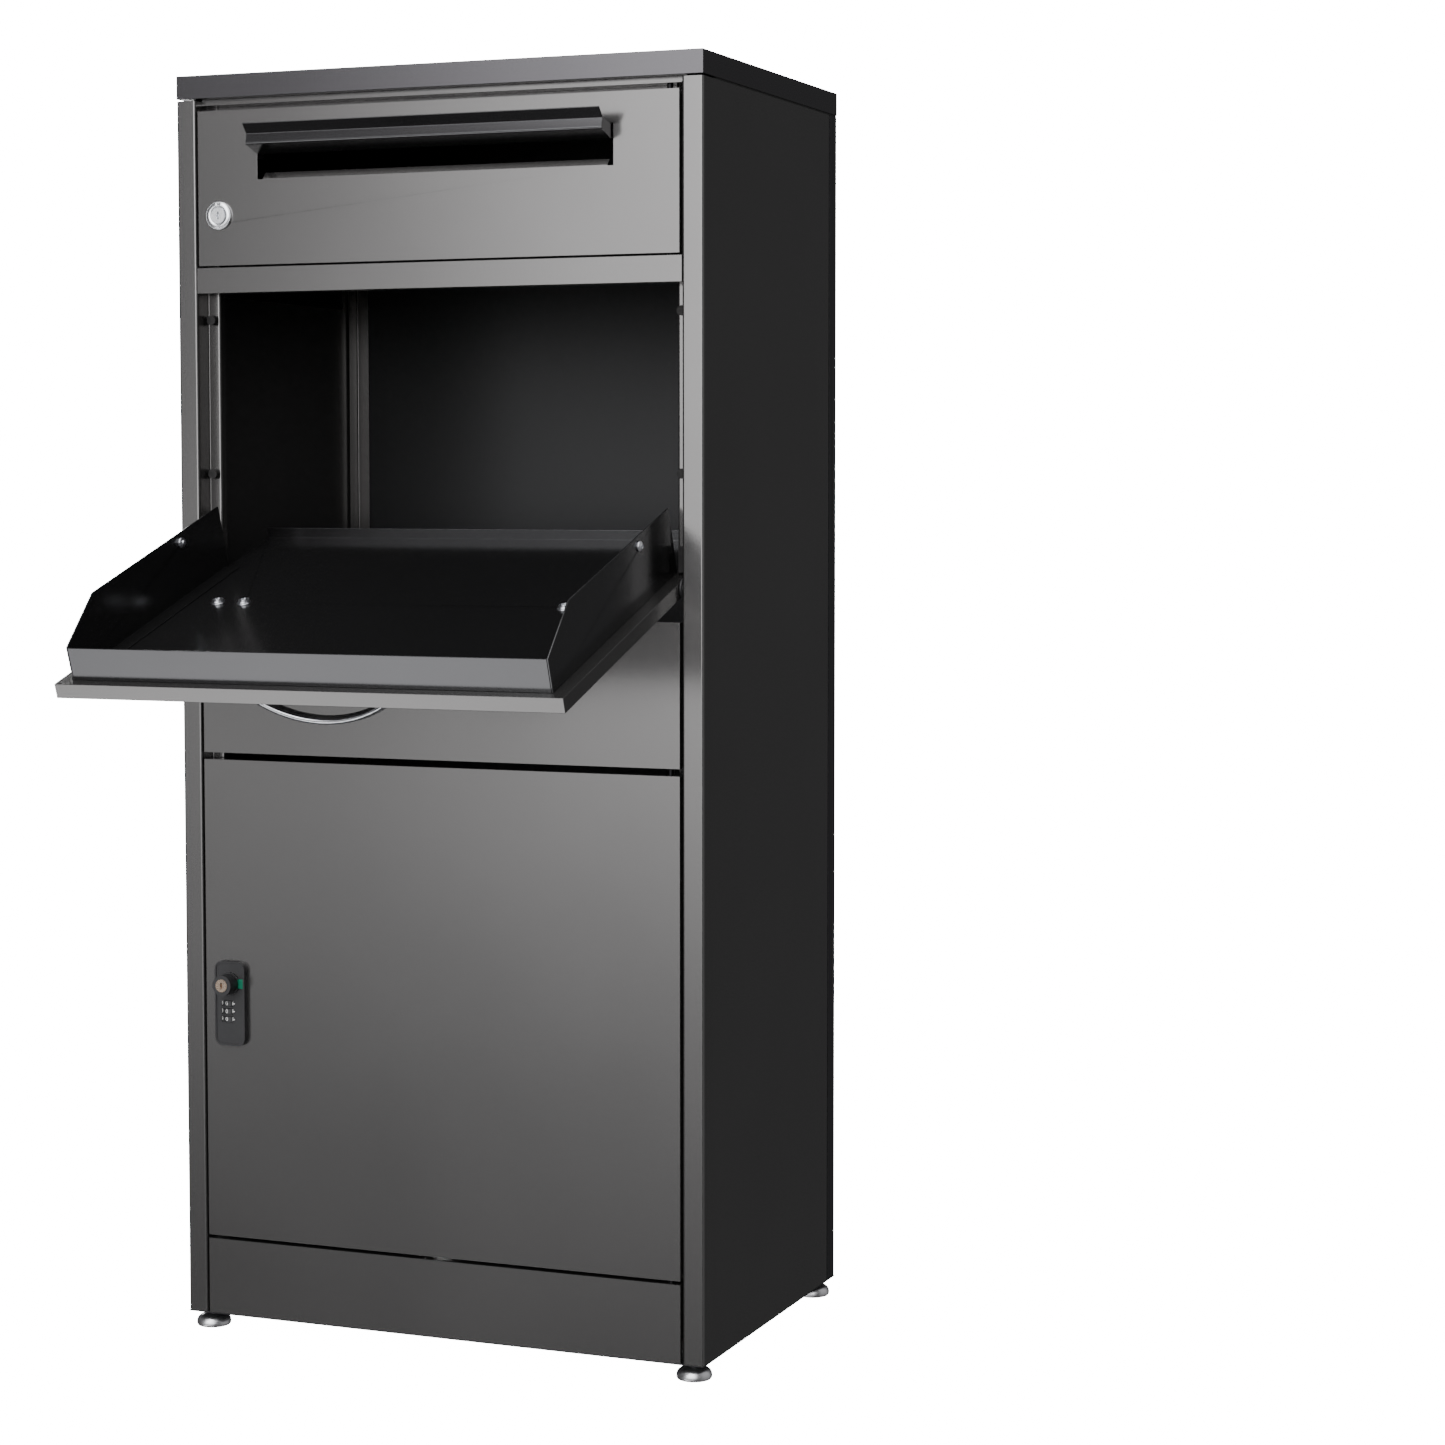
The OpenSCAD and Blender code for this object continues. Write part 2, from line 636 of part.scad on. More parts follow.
module cam_lock_nut() color("#b9bbbd") front() translate([lock_x, 0, lock_z]) difference() {
    translate([0, t, 0]) rotate([-90, 0, 0]) cylinder(r = 13, h = 5, $fn = 6);
    bar_y(barrel_r + run, 0, 8);
}

module cam_lock_plug() color("#e3e4e6") front() translate([lock_x, 0, lock_z]) difference() {
    union() {
        bar_y(plug_r, -3, body_y + 2);
        bar_y(4, body_y, cam_y);
    }
    block([-0.7, -4, -3.2], [0.7, 4, 3.2]);
    bar_y(1.4, -4, 4);
}

module cam_lock_cam() color("#b9bbbd") front() translate([lock_x, 0, lock_z]) cam_plate(8);

// ---- lower door and combination lock ----

module lower_door_panel() color("#75736f") front() difference() {
    pan(lower_z0, lower_z1, pan_d, pan_rim);
    block([combo_x + body_x[0] - 0.1, -cut, combo_z - body_half - 0.1],
          [combo_x + body_x[1] + 0.1, t + cut, combo_z + body_half + 0.1]);
    block([combo_x + body_x[0] - 0.6, t, combo_z - body_half - 8],
          [combo_x, pan_d + cut, combo_z + body_half + 8]);
    for (z = [lower_z0, lower_z1 - t]) translate([hinge_x, hinge_y, z])
        bar_z(hinge_pin_r + run, -cut, t + cut);
}

module lower_door_stiffener() color("#3a3b3d") front() translate([0, 0, lower_z0 + 22])
    linear_extrude(lower_door_h - 44) {
        for (s = [-1, 1]) {
            translate([s * 33 - 9, t]) square([18, t]);
            translate([s * 24 - t / 2, t]) square([t, pan_d - 2 * t]);
        }
        translate([-24, pan_d - 2 * t]) square([48, t]);
    }

module lower_door_pins() color("silver") front() translate([hinge_x, hinge_y, 0]) {
    bar_z(hinge_pin_r, lower_z1 - pin_in, middle_z0 + t);
    bar_z(pin_head, lower_z1 - pin_in, lower_z1 - t);
    bar_z(hinge_pin_r, plinth_top - t, lower_z0 + pin_in);
    bar_z(pin_head, lower_z0 + t, lower_z0 + pin_in);
}

module combination_housing() color("#232325") front() difference() {
    union() {
        translate([combo_x, 0, combo_z]) {
            round_plate(combo_w, combo_h, 7, -plate_t + 0.8, 0);
            difference() {
                round_plate(combo_w, combo_h, 7, -plate_t, -plate_t + 0.8);
                round_plate(combo_w - 3, combo_h - 3, 5.5, -plate_t - cut, -plate_t + 0.8);
            }
            block([body_x[0], 0, -body_half], [body_x[1], body_y, body_half]);
        }
        translate([combo_x, 0, knob_z]) bar_y(9.5, -plate_t - 1.2, 0);
    }
    translate([combo_x, 0, knob_z]) bar_y(spindle_r + run, -2 * plate_t, body_y + cut);
    for (z = dial_z) translate([dial_x, dial_y, z])
        bar_z(dial_d / 2 + 0.5, -dial_t / 2 - near, dial_t / 2 + near);
    translate([dial_x, dial_y, 0]) bar_z(dial_pin_r + run, dial_z[2] - 8, dial_z[0] + 8);
    for (z = combo_screw_z) translate([combo_x, 0, z]) bar_y(m4_r + run, body_y - 9, body_y + cut);
    block([indicator_x - 2.6, -2 * plate_t, knob_z - 4.1],
          [indicator_x + 2.6, -plate_t + 2.5, knob_z + 4.1]);
}

// Bridge behind the lock that clamps its plate to the door
module combination_bracket() color("#8d8f91") front() difference() {
    x = combo_x + body_x[0];
    union() {
        block([x, body_y, combo_z - body_half - 6], [x + 22, body_y + 1.5, combo_z + body_half + 6]);
        for (z = [combo_z - body_half - 6, combo_z + body_half + 4.5])
            block([x, t, z], [x + 22, body_y + 1.5, z + 1.5]);
    }
    translate([combo_x, 0, knob_z]) bar_y(spindle_r + 0.5, body_y - cut, body_y + 3);
    for (z = combo_screw_z) translate([combo_x, 0, z]) bar_y(m4_hole, body_y - cut, body_y + 3);
}

module combination_screws() color("silver") front() for (z = combo_screw_z)
    translate([combo_x, 0, z]) {
        bar_y(m4_r, body_y - 8, body_y + 1.5);
        bar_y(m4_head, body_y + 1.5, body_y + 3.7);
    }

module combination_indicator() color("#1f7a55") front() translate([indicator_x, 0, knob_z])
    block([-2.5, -plate_t + 0.3, -4], [2.5, -plate_t + 2.5, 4]);

module dial_shaft() color("silver") front() translate([dial_x, dial_y, 0])
    bar_z(dial_pin_r, dial_z[2] - 7.5, dial_z[0] + 7.5);

module combination_knob() color("#1b1b1d") front() translate([combo_x, 0, knob_z]) difference() {
    union() {
        bar_y(8.6, -18, -plate_t - 1.2 - near);
        bar_y(spindle_r, -8, cam_y);
    }
    bar_y(5.4, -19, -12);
}

module combination_key_plug() color("#b08f6c") front() translate([combo_x, 0, knob_z]) difference() {
    bar_y(5.35, -18.5, -12);
    block([-0.6, -19, -2.6], [0.6, -15, 2.6]);
    bar_y(1.2, -19, -15);
}

module combination_cam() color("#b9bbbd") front() translate([combo_x, 0, knob_z]) cam_plate(7);

// One ten-sided click wheel with grooves between its digits
module number_dial(i) color("#202022") front() translate([dial_x, dial_y, dial_z[i]]) difference() {
    bar_z(dial_d / 2, -dial_t / 2, dial_t / 2);
    bar_z(dial_pin_r + run, -dial_t, dial_t);
    for (k = [0 : 9]) rotate(k * 36 + 18) translate([dial_d / 2 + 0.3, 0, 0])
        bar_z(0.8, -dial_t, dial_t);
}
module number_dial_1() number_dial(0);
module number_dial_2() number_dial(1);
module number_dial_3() number_dial(2);

// ---- feet ----

module foot(x, y) color("#bfc1c3") translate([x * foot_x, y * foot_y, 0]) {
    bar_z(foot_d / 2, -foot_h, -foot_h + 9);
    bar_z(foot_d / 2 - 3, -foot_h + 9, -foot_h + 11);
    bar_z(stem_r, -foot_h, stem_top);
}
module front_left_foot() foot(-1, -1);
module front_right_foot() foot(1, -1);
module rear_left_foot() foot(-1, 1);
module rear_right_foot() foot(1, 1);

left_side_panel();
right_side_panel();
back_panel();
base_pan();
top_lid();
lid_gasket();
lid_screws();
top_front_rail();
header_rail();
mail_floor();
mail_floor_angles();
middle_panel();
front_plinth();
panel_brackets();
hopper_pivot_bushes();
hopper_stop_buffers();
door_buffers();
back_rivets();
foot_nuts();
hopper_door_panel();
hopper_tray();
hopper_left_cheek();
hopper_right_cheek();
tray_rails();
hopper_handle();
handle_screws();
tray_bolts();
cheek_screws();
hopper_pivot_pins();
mail_door_panel();
mail_door_pins();
flap_brackets();
flap_pins();
mail_flap();
cam_lock_body();
cam_lock_nut();
cam_lock_plug();
cam_lock_cam();
lower_door_panel();
lower_door_stiffener();
lower_door_pins();
combination_housing();
combination_bracket();
combination_screws();
combination_indicator();
dial_shaft();
combination_knob();
combination_key_plug();
combination_cam();
number_dial_1();
number_dial_2();
number_dial_3();
front_left_foot();
front_right_foot();
rear_left_foot();
rear_right_foot();
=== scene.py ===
"""Parcel drop box: looks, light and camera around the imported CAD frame."""
import json
import math

import bmesh
import bpy
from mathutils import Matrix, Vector


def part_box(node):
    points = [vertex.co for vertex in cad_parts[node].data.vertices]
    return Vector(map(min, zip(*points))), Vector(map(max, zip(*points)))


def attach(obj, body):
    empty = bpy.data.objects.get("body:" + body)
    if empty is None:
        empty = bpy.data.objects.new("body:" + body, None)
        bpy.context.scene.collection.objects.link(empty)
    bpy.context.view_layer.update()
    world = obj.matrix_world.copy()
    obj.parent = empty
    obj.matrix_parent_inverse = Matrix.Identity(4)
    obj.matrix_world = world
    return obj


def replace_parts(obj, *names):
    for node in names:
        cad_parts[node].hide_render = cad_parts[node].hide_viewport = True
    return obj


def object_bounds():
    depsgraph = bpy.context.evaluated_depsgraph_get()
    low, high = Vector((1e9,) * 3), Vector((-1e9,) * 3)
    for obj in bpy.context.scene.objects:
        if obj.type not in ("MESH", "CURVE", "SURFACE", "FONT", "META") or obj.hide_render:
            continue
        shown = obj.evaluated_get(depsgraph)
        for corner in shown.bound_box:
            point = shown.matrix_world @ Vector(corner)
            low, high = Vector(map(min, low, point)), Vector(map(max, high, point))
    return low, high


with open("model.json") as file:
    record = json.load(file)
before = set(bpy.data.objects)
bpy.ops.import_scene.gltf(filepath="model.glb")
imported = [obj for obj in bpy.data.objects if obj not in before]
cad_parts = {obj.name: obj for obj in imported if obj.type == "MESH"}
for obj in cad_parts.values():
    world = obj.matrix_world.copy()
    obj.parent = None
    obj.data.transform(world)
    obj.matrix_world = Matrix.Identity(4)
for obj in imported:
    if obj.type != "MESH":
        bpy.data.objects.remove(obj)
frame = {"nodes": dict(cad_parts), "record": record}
CAD_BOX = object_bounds()

MM = 0.001
NODES = frame["nodes"]
RECORD = frame["record"]
JOINTS = {j["name"]: j for j in RECORD["behaviour"]["joints"]}
SLOT_OF = {s["node"]: s["material_slot"] for s in RECORD["subparts"]}


# ---------------------------------------------------------------- node helpers

class Shader:
    """A material's node tree, built with short calls."""

    def __init__(self, name):
        self.mat = bpy.data.materials.new(name)
        self.mat.use_nodes = True
        self.tree = self.mat.node_tree
        self.bsdf = self.tree.nodes["Principled BSDF"]
        self.coords = self.add("ShaderNodeTexCoord").outputs["Object"]

    def add(self, kind, **settings):
        node = self.tree.nodes.new(kind)
        for key, value in settings.items():
            setattr(node, key, value)
        return node

    def link(self, a, b):
        self.tree.links.new(a, b)

    def set(self, **values):
        """Constants on the shader's own sockets, named with underscores for spaces."""
        for key, value in values.items():
            self.bsdf.inputs[key.replace("_", " ")].default_value = value

    def noise(self, scale, detail=2.0, rough=0.5, stretch=(1, 1, 1)):
        """Noise over the object's own coordinates, scale in features per metre."""
        mapping = self.add("ShaderNodeMapping")
        mapping.inputs["Scale"].default_value = stretch
        self.link(self.coords, mapping.inputs["Vector"])
        tex = self.add("ShaderNodeTexNoise")
        tex.inputs["Scale"].default_value = scale
        tex.inputs["Detail"].default_value = detail
        tex.inputs["Roughness"].default_value = rough
        self.link(mapping.outputs["Vector"], tex.inputs["Vector"])
        return tex.outputs["Fac"]

    def ramp(self, fac, low, high, start=0.3, end=0.7):
        """A colour ramp between two colours."""
        node = self.add("ShaderNodeValToRGB")
        node.color_ramp.elements[0].position = start
        node.color_ramp.elements[1].position = end
        node.color_ramp.elements[0].color = (*low, 1)
        node.color_ramp.elements[1].color = (*high, 1)
        self.link(fac, node.inputs["Fac"])
        return node.outputs["Color"]

    def spread(self, fac, low, high, start=0.3, end=0.7):
        """A value that runs from low to high with the texture."""
        node = self.add("ShaderNodeMapRange")
        for key, value in (("From Min", start), ("From Max", end), ("To Min", low), ("To Max", high)):
            node.inputs[key].default_value = value
        self.link(fac, node.inputs["Value"])
        return node.outputs["Result"]

    def mix(self, fac, a, b):
        """Mix of two colours, each a socket or a plain colour."""
        node = self.add("ShaderNodeMix", data_type="RGBA")
        for key, value in ((0, fac), (6, a), (7, b)):
            if hasattr(value, "is_linked"):
                self.link(value, node.inputs[key])
            else:
                node.inputs[key].default_value = value
        return node.outputs[2]

    def bump(self, *layers):
        """Bump layers, each (height socket, strength, distance in metres), on the shader."""
        last = None
        for height, strength, distance in layers:
            node = self.add("ShaderNodeBump")
            node.inputs["Strength"].default_value = strength
            node.inputs["Distance"].default_value = distance
            self.link(height, node.inputs["Height"])
            if last:
                self.link(last, node.inputs["Normal"])
            last = node.outputs["Normal"]
        self.link(last, self.bsdf.inputs["Normal"])

    def colour(self, socket):
        self.link(socket, self.bsdf.inputs["Base Color"])

    def roughness(self, socket):
        self.link(socket, self.bsdf.inputs["Roughness"])


def shade(colour, factor):
    return tuple(min(1.0, c * factor) for c in colour)


# ---------------------------------------------------------------- materials

def powder_coat(name, colour, rough, metallic=0.0, peel=0.14, specular=0.5):
    """Baked powder paint: fine orange peel, a little cloudiness and a fine speck."""
    s = Shader(name)
    cloud = s.noise(4.0, 4, 0.55)
    grain = s.noise(2600, 2, 0.6)
    tone = s.ramp(cloud, shade(colour, 0.82), shade(colour, 1.18), 0.0, 1.0)
    speck = s.ramp(grain, shade(colour, 0.70), shade(colour, 1.30), 0.0, 1.0)
    s.colour(s.mix(0.35, tone, speck))
    s.roughness(s.spread(s.noise(3.0, 2), rough * 0.85, rough * 1.15, 0.0, 1.0))
    s.set(Metallic=metallic, Specular_IOR_Level=specular)
    s.bump((s.noise(520, 2, 0.5), peel, 0.00035), (grain, peel * 0.5, 0.00008))
    return s.mat


def plated(name, colour, rough, lines=None):
    """Plated or polished metal, with drawn lines along one axis where lines gives it."""
    s = Shader(name)
    stretch = (1, 1, 1) if lines is None else tuple(0.02 if a == lines else 1 for a in "xyz")
    fine = s.noise(1500, 3, 0.6, stretch)
    haze = s.noise(60, 3, 0.6)
    s.colour(s.ramp(haze, shade(colour, 0.92), shade(colour, 1.04)))
    s.roughness(s.spread(fine, rough * 0.75, rough * 1.35))
    s.set(Metallic=1.0)
    s.bump((fine, 0.06 if lines is None else 0.16, 0.00006))
    return s.mat


def moulded(name, colour, rough, texture=0.2):
    """Moulded plastic with a spark-eroded surface."""
    s = Shader(name)
    grain = s.noise(1900, 2, 0.55)
    s.colour(s.ramp(s.noise(25, 3), shade(colour, 0.88), shade(colour, 1.12)))
    s.roughness(s.spread(grain, rough * 0.85, rough * 1.2))
    s.set(Metallic=0.0, Specular_IOR_Level=0.45)
    s.bump((grain, texture, 0.00012))
    return s.mat


def rubber(name):
    """Matt black rubber with a fine dusty bloom."""
    s = Shader(name)
    s.colour(s.ramp(s.noise(180, 4, 0.65), (0.010, 0.010, 0.010), (0.026, 0.025, 0.024)))
    s.roughness(s.spread(s.noise(90, 3), 0.72, 0.9))
    s.set(Metallic=0.0, Specular_IOR_Level=0.3)
    s.bump((s.noise(900, 3), 0.25, 0.0002))
    return s.mat


def printed(name, colour):
    """White filled digits and marks."""
    s = Shader(name)
    s.colour(s.ramp(s.noise(700, 3), shade(colour, 0.9), colour))
    s.roughness(s.spread(s.noise(400, 2), 0.4, 0.6))
    s.bump((s.noise(1500, 2), 0.1, 0.00005))
    return s.mat


MATERIALS = {
    "body_paint": powder_coat("body_paint", (0.160, 0.157, 0.154), 0.21, 0.9, 0.03),
    # Painted shade: the lid gets a darker copy of the body paint, standing in for the shade on its
    # front face.
    "lid_painted_shade": powder_coat("lid_painted_shade", (0.098, 0.095, 0.100), 0.21, 0.9, 0.03),
    # Painted shade: the inner sheets, back panel included, get a near-black paint in place of the body
    # paint, standing in for the shade inside the cabinet.
    "inner_paint": powder_coat("inner_paint", (0.012, 0.012, 0.013), 0.42, 0.0, 0.12, 0.3),
    # Painted shade: the hopper's parts get a darker copy of the body paint, standing in for the shade
    # they sit in.
    "hopper_paint": powder_coat("hopper_paint", (0.095, 0.095, 0.097), 0.20, 0.92, 0.03),
    "zinc_steel": plated("zinc_steel", (0.62, 0.63, 0.66), 0.30),
    "black_steel": plated("black_steel", (0.02, 0.02, 0.021), 0.40),
    "chrome": plated("chrome", (0.90, 0.91, 0.93), 0.26),
    "satin_chrome": plated("satin_chrome", (0.70, 0.71, 0.73), 0.20, "x"),
    "black_plastic": moulded("black_plastic", (0.022, 0.022, 0.023), 0.42),
    "bronze_nickel": plated("bronze_nickel", (0.50, 0.39, 0.30), 0.26),
    "green_plastic": moulded("green_plastic", (0.01, 0.16, 0.09), 0.22, 0.05),
    "black_rubber": rubber("black_rubber"),
    "foot_metal": plated("foot_metal", (0.68, 0.68, 0.69), 0.32),
}
WHITE = printed("white_fill", (0.85, 0.85, 0.83))


# ---------------------------------------------------------------- CAD nodes: finish and small bends

FINE = {"number_dial_1", "number_dial_2", "number_dial_3", "cam_lock_plug", "combination_key_plug",
        "combination_indicator", "flap_pins", "dial_shaft"}


def finish_node(name, obj):
    """Gives a CAD node its finish, and rounds its sharp sheet edges."""
    obj.data.materials.clear()
    # The lid takes the darker copy of the body paint, which is painted shade.
    obj.data.materials.append(MATERIALS["lid_painted_shade" if name == "top_lid" else SLOT_OF[name]])
    weld = obj.modifiers.new("weld", "WELD")
    weld.merge_threshold = 0.00001
    bevel = obj.modifiers.new("bevel", "BEVEL")
    bevel.width = (0.12 if name in FINE else 0.4) * MM
    bevel.segments = 2
    bevel.limit_method = "ANGLE"
    bevel.angle_limit = math.radians(40)
    bevel.face_strength_mode = "FSTR_ALL"
    normals = obj.modifiers.new("normals", "WEIGHTED_NORMAL")
    normals.use_face_influence = True
    for poly in obj.data.polygons:
        poly.use_smooth = True


for node_name, node_obj in NODES.items():
    finish_node(node_name, node_obj)


# ---------------------------------------------------------------- mesh helpers

def mesh_piece(name, bm, body, slot, mat=None):
    """A finished piece from a bmesh, riding on a body."""
    bmesh.ops.recalc_face_normals(bm, faces=bm.faces)
    mesh = bpy.data.meshes.new(name)
    bm.to_mesh(mesh)
    bm.free()
    for poly in mesh.polygons:
        poly.use_smooth = True
    obj = bpy.data.objects.new(name, mesh)
    bpy.context.scene.collection.objects.link(obj)
    obj.data.materials.append(mat or MATERIALS[slot])
    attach(obj, body)
    return obj


def lathe(bm, profile, place, steps=48, lobes=6):
    """Adds a turned shape. profile: (radius, height, lobe) from the bottom pole to the top one."""
    rings = []
    for radius, height, lobe in profile:
        if radius == 0:
            rings.append([bm.verts.new(place(0, 0, height))])
            continue
        ring = []
        for i in range(steps):
            a = 2 * math.pi * i / steps
            r = radius * (1 + lobe * math.cos(lobes * a))
            ring.append(bm.verts.new(place(r * math.cos(a), r * math.sin(a), height)))
        rings.append(ring)
    for low, high in zip(rings, rings[1:]):
        for i in range(steps):
            j = (i + 1) % steps
            if len(low) == 1:
                bm.faces.new((low[0], high[j], high[i]))
            elif len(high) == 1:
                bm.faces.new((low[i], low[j], high[0]))
            else:
                bm.faces.new((low[i], low[j], high[j], high[i]))


def dome_profile(radius, height, socket):
    """A button head with a six-lobed socket."""
    rim = [(0, 0, 0), (radius * 0.97, 0, 0), (radius, height * 0.12, 0)]
    arc = [(radius * math.cos(a), height * (0.12 + 0.88 * math.sin(a)), 0)
           for a in (math.radians(d) for d in (20, 38, 54, 66))]
    well = [(socket * 1.12, height * 1.0, 0.02), (socket, height * 0.96, 0.10),
            (socket * 0.98, height * 0.42, 0.12), (socket * 0.5, height * 0.36, 0.05),
            (0, height * 0.34, 0)]
    return rim + arc + well


def local_frame(point, towards, up_hint=Vector((0.0, 0.3, 1.0))):
    """Places local (x, y, z) with z along towards, from a point in metres."""
    w = Vector(towards).normalized()
    u = up_hint.cross(w).normalized()
    v = w.cross(u)
    origin = Vector(point)
    return lambda x, y, z: origin + (u * x + v * y + w * z)


def box_of(node):
    lo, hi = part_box(node)
    return Vector(lo), Vector(hi)


def islands(node):
    """Centres and boxes of a node's separate solids, from its mesh."""
    obj = NODES[node]
    bm = bmesh.new()
    bm.from_mesh(obj.data)
    bmesh.ops.remove_doubles(bm, verts=bm.verts, dist=0.00001)
    seen, found = set(), []
    for start in bm.verts:
        if start in seen:
            continue
        stack, group = [start], []
        seen.add(start)
        while stack:
            v = stack.pop()
            group.append(v.co.copy())
            for e in v.link_edges:
                w = e.other_vert(v)
                if w not in seen:
                    seen.add(w)
                    stack.append(w)
        lo = Vector(min(c[i] for c in group) for i in range(3))
        hi = Vector(max(c[i] for c in group) for i in range(3))
        found.append((lo, hi))
    bm.free()
    return found


# ---------------------------------------------------------------- hopper fixings

OPEN = math.radians(JOINTS["hopper_tilt"]["range_deg"][1])
PIVOT = Vector(JOINTS["hopper_tilt"]["pos_m"])
PAN_D = 12 * MM
SHEET_T = 1.2 * MM
INWARD = Vector((0, math.cos(OPEN), math.sin(OPEN)))
ALONG = Vector((0, -math.sin(OPEN), math.cos(OPEN)))
SMALLEST_BOLT = 11 * MM
WASHER_T = 0.8 * MM


def hopper_point(x, depth, along):
    """A place on the open hopper: depth behind the door's face, along it from the pivot."""
    y, z = depth - PAN_D / 2, along
    return PIVOT + Vector((x, y * math.cos(OPEN) - z * math.sin(OPEN),
                           y * math.sin(OPEN) + z * math.cos(OPEN)))


def button_head(bm, point, towards, radius, height, socket):
    lathe(bm, dome_profile(radius, height, socket), local_frame(point, towards), steps=60)


def tray_bolts():
    """Button-head bolts with washers over the CAD bolts' heads on the tray floor."""
    bm = bmesh.new()
    for lo, hi in islands("tray_bolts"):
        if (hi - lo).length < SMALLEST_BOLT:
            continue
        centre = (lo + hi) / 2
        along = (centre - PIVOT).dot(ALONG)
        seat = hopper_point(centre.x, PAN_D + SHEET_T, along)
        place = local_frame(seat, INWARD)
        lathe(bm, [(0, 0, 0), (5.6 * MM, 0, 0), (5.8 * MM, 0.3 * MM, 0), (5.6 * MM, WASHER_T, 0),
                   (0, WASHER_T, 0)], place, steps=40)
        button_head(bm, seat + INWARD * 0.7 * MM, INWARD, 4.6 * MM, 2.6 * MM, 1.9 * MM)
    return bm


mesh_piece("tray_bolt_heads", tray_bolts(), "hopper", "zinc_steel")


def cheek_screws():
    """Pan-head screws inside and outside the cheeks."""
    bm = bmesh.new()
    for lo, hi in islands("cheek_screws"):
        side = math.copysign(1, lo.x)
        centre = (lo + hi) / 2
        outer = max(abs(lo.x), abs(hi.x)) * side
        for x, towards in ((outer - 1.0 * MM * side, side), (outer - 3.4 * MM * side, -side)):
            button_head(bm, (x, centre.y, centre.z), (towards, 0, 0), 4.2 * MM, 2.4 * MM, 1.8 * MM)
    return bm


mesh_piece("cheek_screw_heads", cheek_screws(), "hopper", "zinc_steel")


# ---------------------------------------------------------------- cam lock's bezel

# (radius, height above the door), mm, from the plug outwards
BEZEL = ((6.8, 2.3), (6.9, 2.7), (7.3, 2.95), (8.6, 3.05), (10.2, 2.8), (11.1, 2.2),
         (11.5, 1.2), (11.55, 0.02))
BEZEL_STEPS = 96
BEZEL_FLAT = 0.93  # a flat's radius as a share of the round one


def cam_lock_bezel():
    """A rolled bezel ring over the lock's flange, with two wrench flats."""
    lo, hi = box_of("cam_lock_body")
    face = box_of("mail_door_panel")[0].y
    bm = bmesh.new()
    place = local_frame(((lo.x + hi.x) / 2, face, (lo.z + hi.z) / 2), (0, -1, 0))
    rings = []
    for radius, height in BEZEL:
        ring = []
        for i in range(BEZEL_STEPS):
            a = 2 * math.pi * i / BEZEL_STEPS
            flat = abs(math.sin(a)) > 0.985 and radius > 8
            r = radius * MM * (BEZEL_FLAT if flat else 1)
            ring.append(bm.verts.new(place(r * math.cos(a), r * math.sin(a), height * MM)))
        rings.append(ring)
    for low, high in zip(rings, rings[1:]):
        for i in range(BEZEL_STEPS):
            j = (i + 1) % BEZEL_STEPS
            bm.faces.new((low[i], low[j], high[j], high[i]))
    return bm


mesh_piece("cam_lock_bezel", cam_lock_bezel(), "mail_door", "chrome")


# ---------------------------------------------------------------- turned feet

FOOT = ((0, 0), (12.3, 0), (13.5, 0.4), (14.3, 1.5), (14.5, 3.0), (14.2, 5.2), (13.3, 7.0), (11.6, 8.4),
        (9.2, 9.3), (6.4, 9.8), (5.2, 10.4), (5.0, 11.0), (4.0, 11.05))


def turned_foot(name):
    """A turned disc with a rounded rim under its threaded stem."""
    lo, hi = box_of(name)
    bm = bmesh.new()
    centre = (lo + hi) / 2
    stem = [(4.0 * MM, hi.z - lo.z - 0.6 * MM, 0), (3.4 * MM, hi.z - lo.z, 0), (0, hi.z - lo.z, 0)]
    lathe(bm, [(r * MM, h * MM, 0) for r, h in FOOT] + stem,
          lambda x, y, z: Vector((centre.x + x, centre.y + y, lo.z + z)), steps=64)
    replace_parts(mesh_piece(f"turned_{name}", bm, name, "foot_metal"), name)


for corner in ("front_left", "front_right", "rear_left", "rear_right"):
    turned_foot(f"{corner}_foot")


# ---------------------------------------------------------------- number dials and lock face

DIGIT_H = 3.3 * MM
DIGITS = 10


def digit_outline(text):
    """Mesh of one digit, centred, in its own plane."""
    curve = bpy.data.curves.new("digit", "FONT")
    curve.body = text
    curve.size = DIGIT_H * 1.42
    curve.align_x, curve.align_y = "CENTER", "CENTER"
    curve.extrude = 0.04 * MM
    curve.resolution_u = 3
    obj = bpy.data.objects.new("digit", curve)
    bpy.context.scene.collection.objects.link(obj)
    bpy.context.view_layer.update()
    mesh = bpy.data.meshes.new_from_object(obj.evaluated_get(bpy.context.evaluated_depsgraph_get()))
    bpy.data.objects.remove(obj)
    return mesh


def dial_digits(index):
    """Ten digits wrapped round one dial's rim, the 0 facing the front."""
    name = f"number_dial_{index}"
    lo, hi = box_of(name)
    centre, radius = (lo + hi) / 2, (hi.x - lo.x) / 2
    bm = bmesh.new()
    for k in range(DIGITS):
        mesh = digit_outline(str(k))
        facing = -math.pi / 2 + 2 * math.pi * k / DIGITS
        for v in mesh.vertices:
            a = facing + v.co.x / radius
            r = radius + v.co.z
            v.co = centre + Vector((r * math.cos(a), r * math.sin(a), v.co.y))
        bm.from_mesh(mesh)
        bpy.data.meshes.remove(mesh)
    mesh_piece(f"dial_digits_{index}", bm, name, "black_plastic", WHITE)


def index_marks():
    """Short raised marks beside the dial windows."""
    bm = bmesh.new()
    for i in (1, 2, 3):
        d_lo, d_hi = box_of(f"number_dial_{i}")
        mid = (d_lo + d_hi) / 2
        made = bmesh.ops.create_cube(bm, size=1)["verts"]
        for v in made:
            v.co = Vector((mid.x + (6.2 + v.co.x * 1.7) * MM, FRONT_Y - (4.25 + v.co.y * 0.3) * MM,
                           mid.z + v.co.z * 0.9 * MM))
    bmesh.ops.bevel(bm, geom=bm.edges, offset=0.1 * MM, segments=2, affect="EDGES")
    return bm


